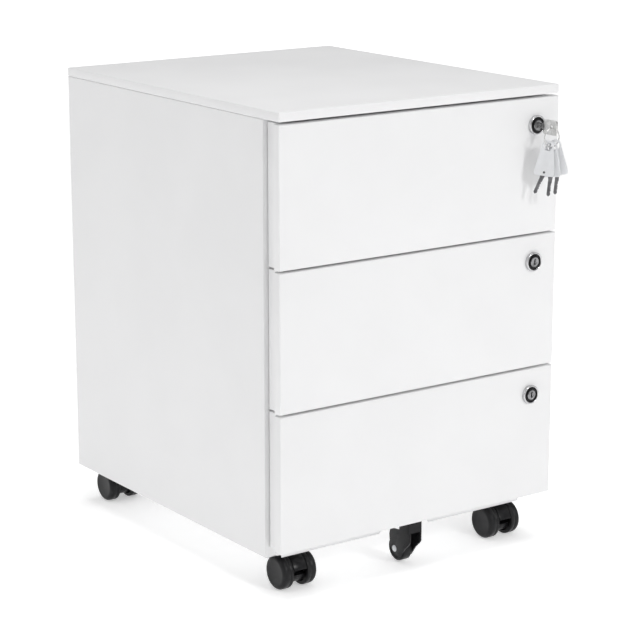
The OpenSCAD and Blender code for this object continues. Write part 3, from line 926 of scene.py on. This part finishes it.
# %% Turn the axle's rivet heads
AXLE_R = 2.5 * MM
low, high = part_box("anti_tip_axle")
half, head_r = (high.x - low.x) / 2, (high.z - low.z) / 2
outline = [(0.0, half), (head_r * 0.5, half - 0.08 * MM), (head_r * 0.85, half - 0.35 * MM),
           (head_r, half - 0.9 * MM), (AXLE_R, half - 0.9 * MM)]
outline += mirrored(outline)
stand_in(turned("anti_tip_rivet", outline, (low + high) / 2, X, 32), "anti_tip_axle")
print("axle heads, mm:", round(2 * head_r / MM, 1), "across")

# %% [markdown]
# ## Key in the lock
# A stamped key: a bow with rounded corners and a hole, and a blade with a groove rolled
# along it and teeth cut in one edge. The ring is two turns of spring wire side by side.

# %% Model the top key
BOW_LEN, BOW_CORNER_R, BOW_HOLE_R = 24 * MM, 3.2 * MM, 2.2 * MM
KEY_HALF_T, KEY_HALF_H = 0.75 * MM, 3.2 * MM
TOOTH_HALF, TOOTH_PITCH = 1.3 * MM, 3 * MM
TOOTH_DEPTHS = (1.6, 0.9, 1.9, 1.2, 1.7)


def key_bow(low, high, centre):
    bow = add_block("top_key", low, high)
    start_edit(bow)
    choose(bow, "edges", lambda e: runs(e, X))
    bevel_chosen(BOW_CORNER_R, 6)
    end_edit()
    hole = Vector((centre.x, low.y + 9 * MM, centre.z + 0.8 * MM))
    cut(bow, add_rod("drill", hole, X, BOW_HOLE_R, 8 * MM, 32))
    soften(bow, 0.35 * MM, 3)
    return bow


def key_blade(start, end, centre):
    blade = add_block("blade", (centre.x - KEY_HALF_T, start - 0.5 * MM, centre.z - KEY_HALF_H),
                      (centre.x + KEY_HALF_T, end, centre.z + KEY_HALF_H))
    for i, depth in enumerate(TOOTH_DEPTHS):
        tooth = add_block("tooth", (-2 * MM, -TOOTH_HALF, -TOOTH_HALF), (2 * MM, TOOTH_HALF, TOOTH_HALF))
        put(tooth, (centre.x, end - (1 + i) * TOOTH_PITCH, centre.z + KEY_HALF_H + (1.6 - depth) * MM),
            (math.radians(45), 0, 0))
        cut(blade, tooth)
    cut(blade, add_block("groove", (centre.x + 0.45 * MM, start + 3 * MM, centre.z - 1 * MM),
                         (centre.x + 2 * MM, end + MM, centre.z - 0.2 * MM)))
    return blade


low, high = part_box("key_in_lock")
centre = (low + high) / 2
top_key = key_bow(low, Vector((high.x, low.y + BOW_LEN, high.z)), centre)
cut(top_key, key_blade(low.y + BOW_LEN, high.y, centre), "UNION")
smooth(top_key)
stand_in(top_key, "key_in_lock")
print("key with", len(TOOTH_DEPTHS), "teeth")

# %% Bend the ring
WIRE_R = 0.42 * MM
low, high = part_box("key_ring")
turns = [add("turn", bpy.ops.mesh.primitive_torus_add,
             location=(low + high) / 2 + Vector((0, offset, 0)), rotation=(math.pi / 2, 0, 0),
             major_segments=96, minor_segments=14, minor_radius=WIRE_R,
             major_radius=(high.x - low.x) / 2 - 0.8 * MM) for offset in (-0.38 * MM, 0.38 * MM)]
ring = join("split_ring", *turns)
smooth(ring, 60)
stand_in(ring, "key_ring")
print("split ring")

# %% [markdown]
# ## Folding spare keys
# Each spare has a half-clear plastic head in two cheeks, a raised border round each
# cheek, a dark rivet, and a steel blade that folds in between. The head is a plate whose
# faces are inset and pressed in, then slotted. Each part is made about its own pivot,
# square to the axes, and its copies are turned and put in place last.

# %% Cut plates to an outline
def plate(name, outline, thick):
    """A flat plate with this outline in X and Z, its thickness centred on Y = 0."""
    places = [Vector((x, -thick / 2, z)) for x, z in outline]
    piece = draw(name, places + places[:1])
    merge_corners()
    choose_all()
    bpy.ops.mesh.edge_face_add()
    push(y=thick)
    choose_all()
    bpy.ops.mesh.normals_make_consistent(inside=False)
    end_edit()
    return piece


print("plate cutter ready")

# %% Model a spare key's head and rivet
HEAD_T, HEAD_LOW, HEAD_HALF, HEAD_TOP_R = 3.2 * MM, -34 * MM, 11.5 * MM, 7 * MM
HEAD_CORNER_R, HEAD_HOLE_R, BORDER, BORDER_DEPTH = 3 * MM, 4.8 * MM, 1.3 * MM, 0.22 * MM
SLOT_HALF, SLOT_TOP, RIVET_R = 0.8 * MM, -2.4 * MM, 1.5 * MM


def head_side(side):
    """The head's long flank, from the ring's end down to the blade's end."""
    return [(side * (HEAD_TOP_R + 0.5 * MM), -5 * MM), (side * (HEAD_HALF - 1.4 * MM), -20 * MM),
            (side * HEAD_HALF, HEAD_LOW + 5 * MM)]


def spare_head():
    corner_x, corner_z = HEAD_HALF - HEAD_CORNER_R, HEAD_LOW + HEAD_CORNER_R
    outline = arc(0, 0, HEAD_TOP_R, 0, 180, 16) + head_side(-1)
    outline += arc(-corner_x, corner_z, HEAD_CORNER_R, 180, 270, 5)
    outline += arc(corner_x, corner_z, HEAD_CORNER_R, 270, 360, 5)
    outline += reversed(head_side(1))
    head = plate("head", outline, HEAD_T)
    start_edit(head)
    choose(head, "faces", lambda f: abs(f.normal.y) > 0.9)
    bpy.ops.mesh.inset(thickness=BORDER, depth=-BORDER_DEPTH, use_individual=True)
    end_edit()
    cut(head, add_block("slot", (-14 * MM, -SLOT_HALF, HEAD_LOW - MM), (14 * MM, SLOT_HALF, SLOT_TOP)))
    cut(head, add_rod("drill", (0, 0, 0), Y, HEAD_HOLE_R, 8 * MM, 40))
    soften(head, 0.25 * MM)
    return head


def head_rivet():
    half = HEAD_T / 2
    dome = [(0.0, half), (0.9 * MM, half - 0.05 * MM), (RIVET_R, half - 0.3 * MM)]
    return turned("rivet", dome + mirrored(dome), Vector(), Y, 24)


head, rivet = spare_head(), head_rivet()
print("head faces:", len(head.data.polygons))

# %% Model a spare key's blade
BLADE_T, NECK_R, BLADE_HALF, TEETH_START = 1.2 * MM, 3.25 * MM, 2.25 * MM, -8 * MM
TEETH = ((2.2, -8), (2.2, -11), (1.3, -12.2), (2.0, -13.6), (1.0, -15.2), (1.9, -16.8),
         (1.4, -18.4), (2.1, -20), (1.1, -21.6), (1.8, -23.2), (1.7, -25))


def spare_blade():
    outline = arc(0, 0, NECK_R, 0, 180, 12)
    outline += [(-BLADE_HALF, TEETH_START), (-BLADE_HALF, -25 * MM), (-1.2 * MM, -26.4 * MM),
                (0.0, -27 * MM)]
    outline += [(x * MM, z * MM) for x, z in reversed(TEETH)]
    blade = plate("blade", outline, BLADE_T)
    cut(blade, add_rod("drill", (0, 0, 0), Y, RIVET_R + RUNNING_GAP, 8 * MM, 24))
    for y in (-BLADE_T / 2, BLADE_T / 2):
        cut(blade, add_block("groove", (-1.5 * MM, y - 0.25 * MM, -28 * MM),
                             (-0.6 * MM, y + 0.25 * MM, -6 * MM)))
    soften(blade, 0.12 * MM, 1)
    return blade


blade = spare_blade()
print("blade faces:", len(blade.data.polygons))

# %% Fan three spare keys on the ring
RIVET_DROP = 30 * MM
FACING = math.radians(-45)
FANS, LEANS = {1: 7, 2: 0, 3: -7}, {1: 22, 2: 5, 3: 5}
JOINTS = {joint["name"]: joint for joint in frame["joints"]}


def hang(piece, name, place, lean):
    """A copy of a spare key's part, leaning by an angle in degrees, at its place."""
    twin = twin_of(piece)
    twin.name = name
    put(twin, place, (0, math.radians(lean), FACING))
    return twin


for n in (1, 2, 3):
    pivot = Vector(JOINTS[f"spare_key_{n}_fold"]["pos_m"])
    up = Vector((0, 0, RIVET_DROP))
    up.rotate(Euler((0, math.radians(FANS[n]), FACING)))
    stand_in(hang(head, f"spare_key_{n}_cover", pivot + up, FANS[n]), f"spare_key_{n}_head")
    stand_in(hang(rivet, f"spare_key_{n}_rivet", pivot, 0), f"spare_key_{n}_head",
             slot="screw_steel", replaces=False)
    stand_in(hang(blade, f"spare_key_{n}_steel", pivot, LEANS[n]), f"spare_key_{n}_blade",
             slot="screw_steel")
for piece in (head, rivet, blade):
    bpy.data.objects.remove(piece)
print("three folding keys")
